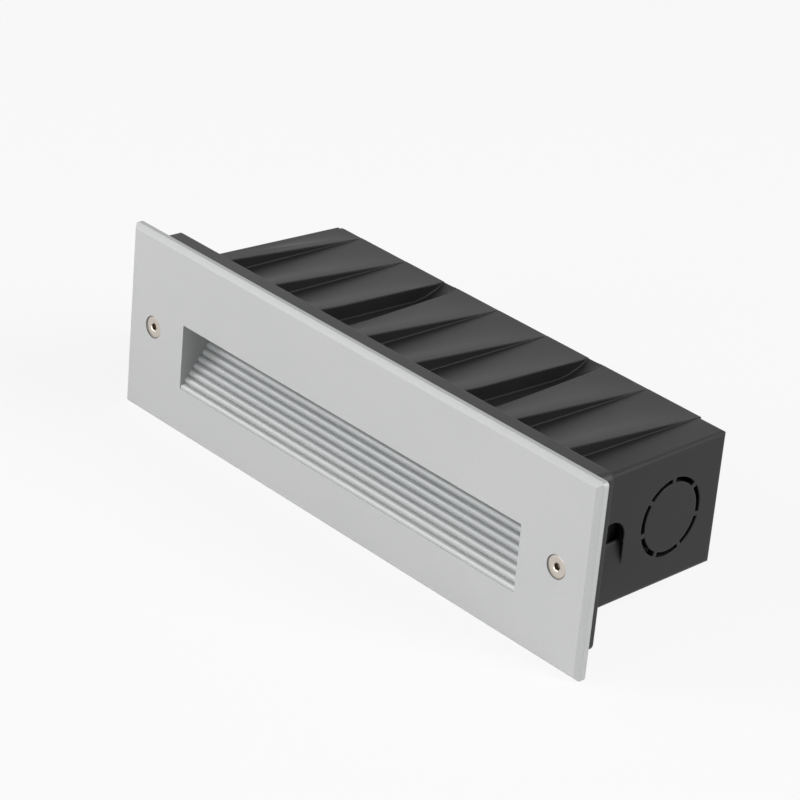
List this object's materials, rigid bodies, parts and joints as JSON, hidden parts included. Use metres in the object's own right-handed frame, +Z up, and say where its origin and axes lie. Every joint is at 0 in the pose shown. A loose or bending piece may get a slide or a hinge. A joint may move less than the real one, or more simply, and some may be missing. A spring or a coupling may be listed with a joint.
{
  "type": "recessed step light",
  "caption": "Long recessed brick light: flat bevelled faceplate with a wide light slot over a ridged slope, held by countersunk screws in a ribbed wall box.",
  "frame": {"origin": "middle of the wall plane, on the back face of the faceplate", "axes": "+X along the wall to the right seen from the front, +Y into the wall, +Z up; the light slot faces -Y"},
  "size_m": [0.242, 0.0814, 0.072],
  "materials": {
    "box_plastic": "black moulded plastic, satin",
    "plate_paint": "light grey textured powder coat on cast aluminium",
    "housing_plastic": "black glass-filled plastic, matt",
    "foam": "closed-cell foam",
    "seal_rubber": "silicone rubber",
    "screw_steel": "plated steel",
    "stainless": "stainless steel with a warm tint",
    "brass": "turned brass",
    "clear_cover": "clear toughened cover",
    "carrier_metal": "plain extruded aluminium",
    "board_white": "white solder mask",
    "chip_yellow": "phosphor",
    "driver_plastic": "white moulded plastic",
    "block_nylon": "natural nylon",
    "lead_brown": "brown insulation",
    "lead_red": "red insulation",
    "lead_green": "green insulation"
  },
  "bodies": {
    "wall_box": {"installation_box": "box_plastic", "threaded_inserts": "brass"},
    "light_unit": {"faceplate": "plate_paint", "wall_gasket": "foam", "light_housing": "housing_plastic", "housing_gasket": "seal_rubber", "housing_screws": "screw_steel", "lens": "clear_cover", "lens_gasket": "seal_rubber", "led_carrier": "carrier_metal", "carrier_screws": "screw_steel", "led_board": "board_white", "led_chips": "chip_yellow", "board_screws": "screw_steel", "driver": "driver_plastic", "driver_screws": "screw_steel", "terminal_block": "block_nylon", "terminal_barrels": "brass", "clamp_screws": "screw_steel", "terminal_screws": "screw_steel", "gland_body": "housing_plastic", "gland_locknut": "housing_plastic", "gland_seal": "seal_rubber", "gland_nut": "housing_plastic", "input_leads": "lead_brown", "led_leads": "lead_red", "earth_lead": "lead_green", "earth_screw": "screw_steel"},
    "captive_left": {"captive_washer_left": "stainless"},
    "captive_right": {"captive_washer_right": "stainless"},
    "screw_left": {"screw_left": "stainless"},
    "screw_right": {"screw_right": "stainless"}
  },
  "joints": [
    {"name": "light_unit_slide", "type": "slide", "parent": "wall_box", "child": "light_unit", "axis": [0, -1, 0], "range_m": [0, 0.085]},
    {"name": "screw_left_travel", "type": "slide", "parent": "light_unit", "child": "captive_left", "axis": [0, -1, 0], "range_m": [0, 0.0056]},
    {"name": "screw_left_turn", "type": "hinge", "parent": "captive_left", "child": "screw_left", "pos_m": [-0.106, 0, 0], "axis": [0, -1, 0], "range_deg": [0, 2880]},
    {"name": "screw_right_travel", "type": "slide", "parent": "light_unit", "child": "captive_right", "axis": [0, -1, 0], "range_m": [0, 0.0056]},
    {"name": "screw_right_turn", "type": "hinge", "parent": "captive_right", "child": "screw_right", "pos_m": [0.106, 0, 0], "axis": [0, -1, 0], "range_deg": [0, 2880]}
  ],
  "couplings": [
    {"joint": "screw_left_turn", "follows": "screw_left_travel", "rad_per_m": 8976},
    {"joint": "screw_right_turn", "follows": "screw_right_travel", "rad_per_m": 8976}
  ]
}
